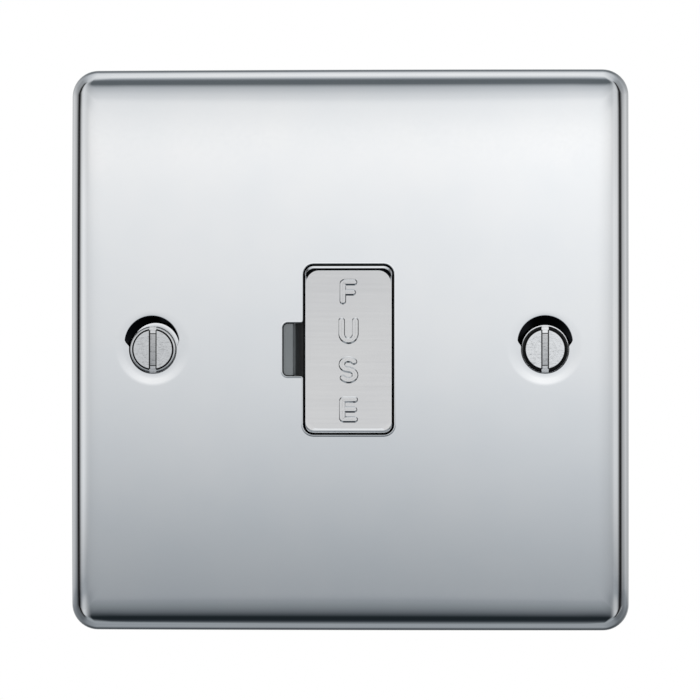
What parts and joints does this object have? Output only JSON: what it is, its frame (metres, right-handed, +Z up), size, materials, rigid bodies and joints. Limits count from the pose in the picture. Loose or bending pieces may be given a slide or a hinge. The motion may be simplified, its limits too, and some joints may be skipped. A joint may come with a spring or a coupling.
{
  "type": "fused spur unit",
  "caption": "Raised polished-metal wall plate with a pull-out fuse carrier, dished slotted fixing screws and a rear moulding of wire terminals.",
  "frame": {"origin": "on the wall plane, midway between the two fixing screws", "axes": "+X to the right seen from the room, +Y into the wall, +Z up"},
  "size_m": [0.086, 0.0318, 0.0864],
  "materials": {
    "polished_chrome": "polished",
    "black_moulding": "gloss",
    "grey_moulding": "matt",
    "zinc_steel": "satin",
    "brass": "satin",
    "spring_bronze": "satin",
    "nickel": "satin",
    "fuse_ceramic": "matt"
  },
  "bodies": {
    "unit": {"front_plate": "polished_chrome", "base_moulding": "black_moulding", "rear_cover": "grey_moulding", "plate_studs": "zinc_steel", "stud_nuts": "zinc_steel", "cover_screws": "zinc_steel", "supply_live_terminal": "brass", "load_live_terminal": "brass", "neutral_bar": "brass", "earth_bar": "brass", "supply_live_clip": "spring_bronze", "load_live_clip": "spring_bronze", "earth_strap": "spring_bronze"},
    "fuse_carrier": {"carrier_cap": "polished_chrome", "carrier_body": "black_moulding", "fuse_barrel": "fuse_ceramic", "fuse_cap_upper": "nickel", "fuse_cap_lower": "nickel"},
    "left_fixing": {"fixing_screw_left": "polished_chrome"},
    "right_fixing": {"fixing_screw_right": "polished_chrome"},
    "supply_live_clamp": {"supply_live_screw": "zinc_steel"},
    "load_live_clamp": {"load_live_screw": "zinc_steel"},
    "supply_neutral_clamp": {"supply_neutral_screw": "zinc_steel"},
    "load_neutral_clamp": {"load_neutral_screw": "zinc_steel"},
    "left_earth_clamp": {"earth_screw_left": "zinc_steel"},
    "right_earth_clamp": {"earth_screw_right": "zinc_steel"}
  },
  "joints": [
    {"name": "carrier_slide", "type": "slide", "parent": "unit", "child": "fuse_carrier", "axis": [0, -1, 0], "range_m": [0, 0.013]},
    {"name": "left_fixing_turn", "type": "hinge", "parent": "unit", "child": "left_fixing", "pos_m": [-0.03015, 0, 0], "axis": [0, -1, 0], "continuous": true},
    {"name": "right_fixing_turn", "type": "hinge", "parent": "unit", "child": "right_fixing", "pos_m": [0.03015, 0, 0], "axis": [0, -1, 0], "continuous": true},
    {"name": "supply_live_clamp_travel", "type": "slide", "parent": "unit", "child": "supply_live_clamp", "axis": [0, -1, 0], "range_m": [0, 0.0038]},
    {"name": "load_live_clamp_travel", "type": "slide", "parent": "unit", "child": "load_live_clamp", "axis": [0, -1, 0], "range_m": [0, 0.0038]},
    {"name": "supply_neutral_clamp_travel", "type": "slide", "parent": "unit", "child": "supply_neutral_clamp", "axis": [0, -1, 0], "range_m": [0, 0.0038]},
    {"name": "load_neutral_clamp_travel", "type": "slide", "parent": "unit", "child": "load_neutral_clamp", "axis": [0, -1, 0], "range_m": [0, 0.0038]},
    {"name": "left_earth_clamp_travel", "type": "slide", "parent": "unit", "child": "left_earth_clamp", "axis": [0, -1, 0], "range_m": [0, 0.0038]},
    {"name": "right_earth_clamp_travel", "type": "slide", "parent": "unit", "child": "right_earth_clamp", "axis": [0, -1, 0], "range_m": [0, 0.0038]}
  ]
}
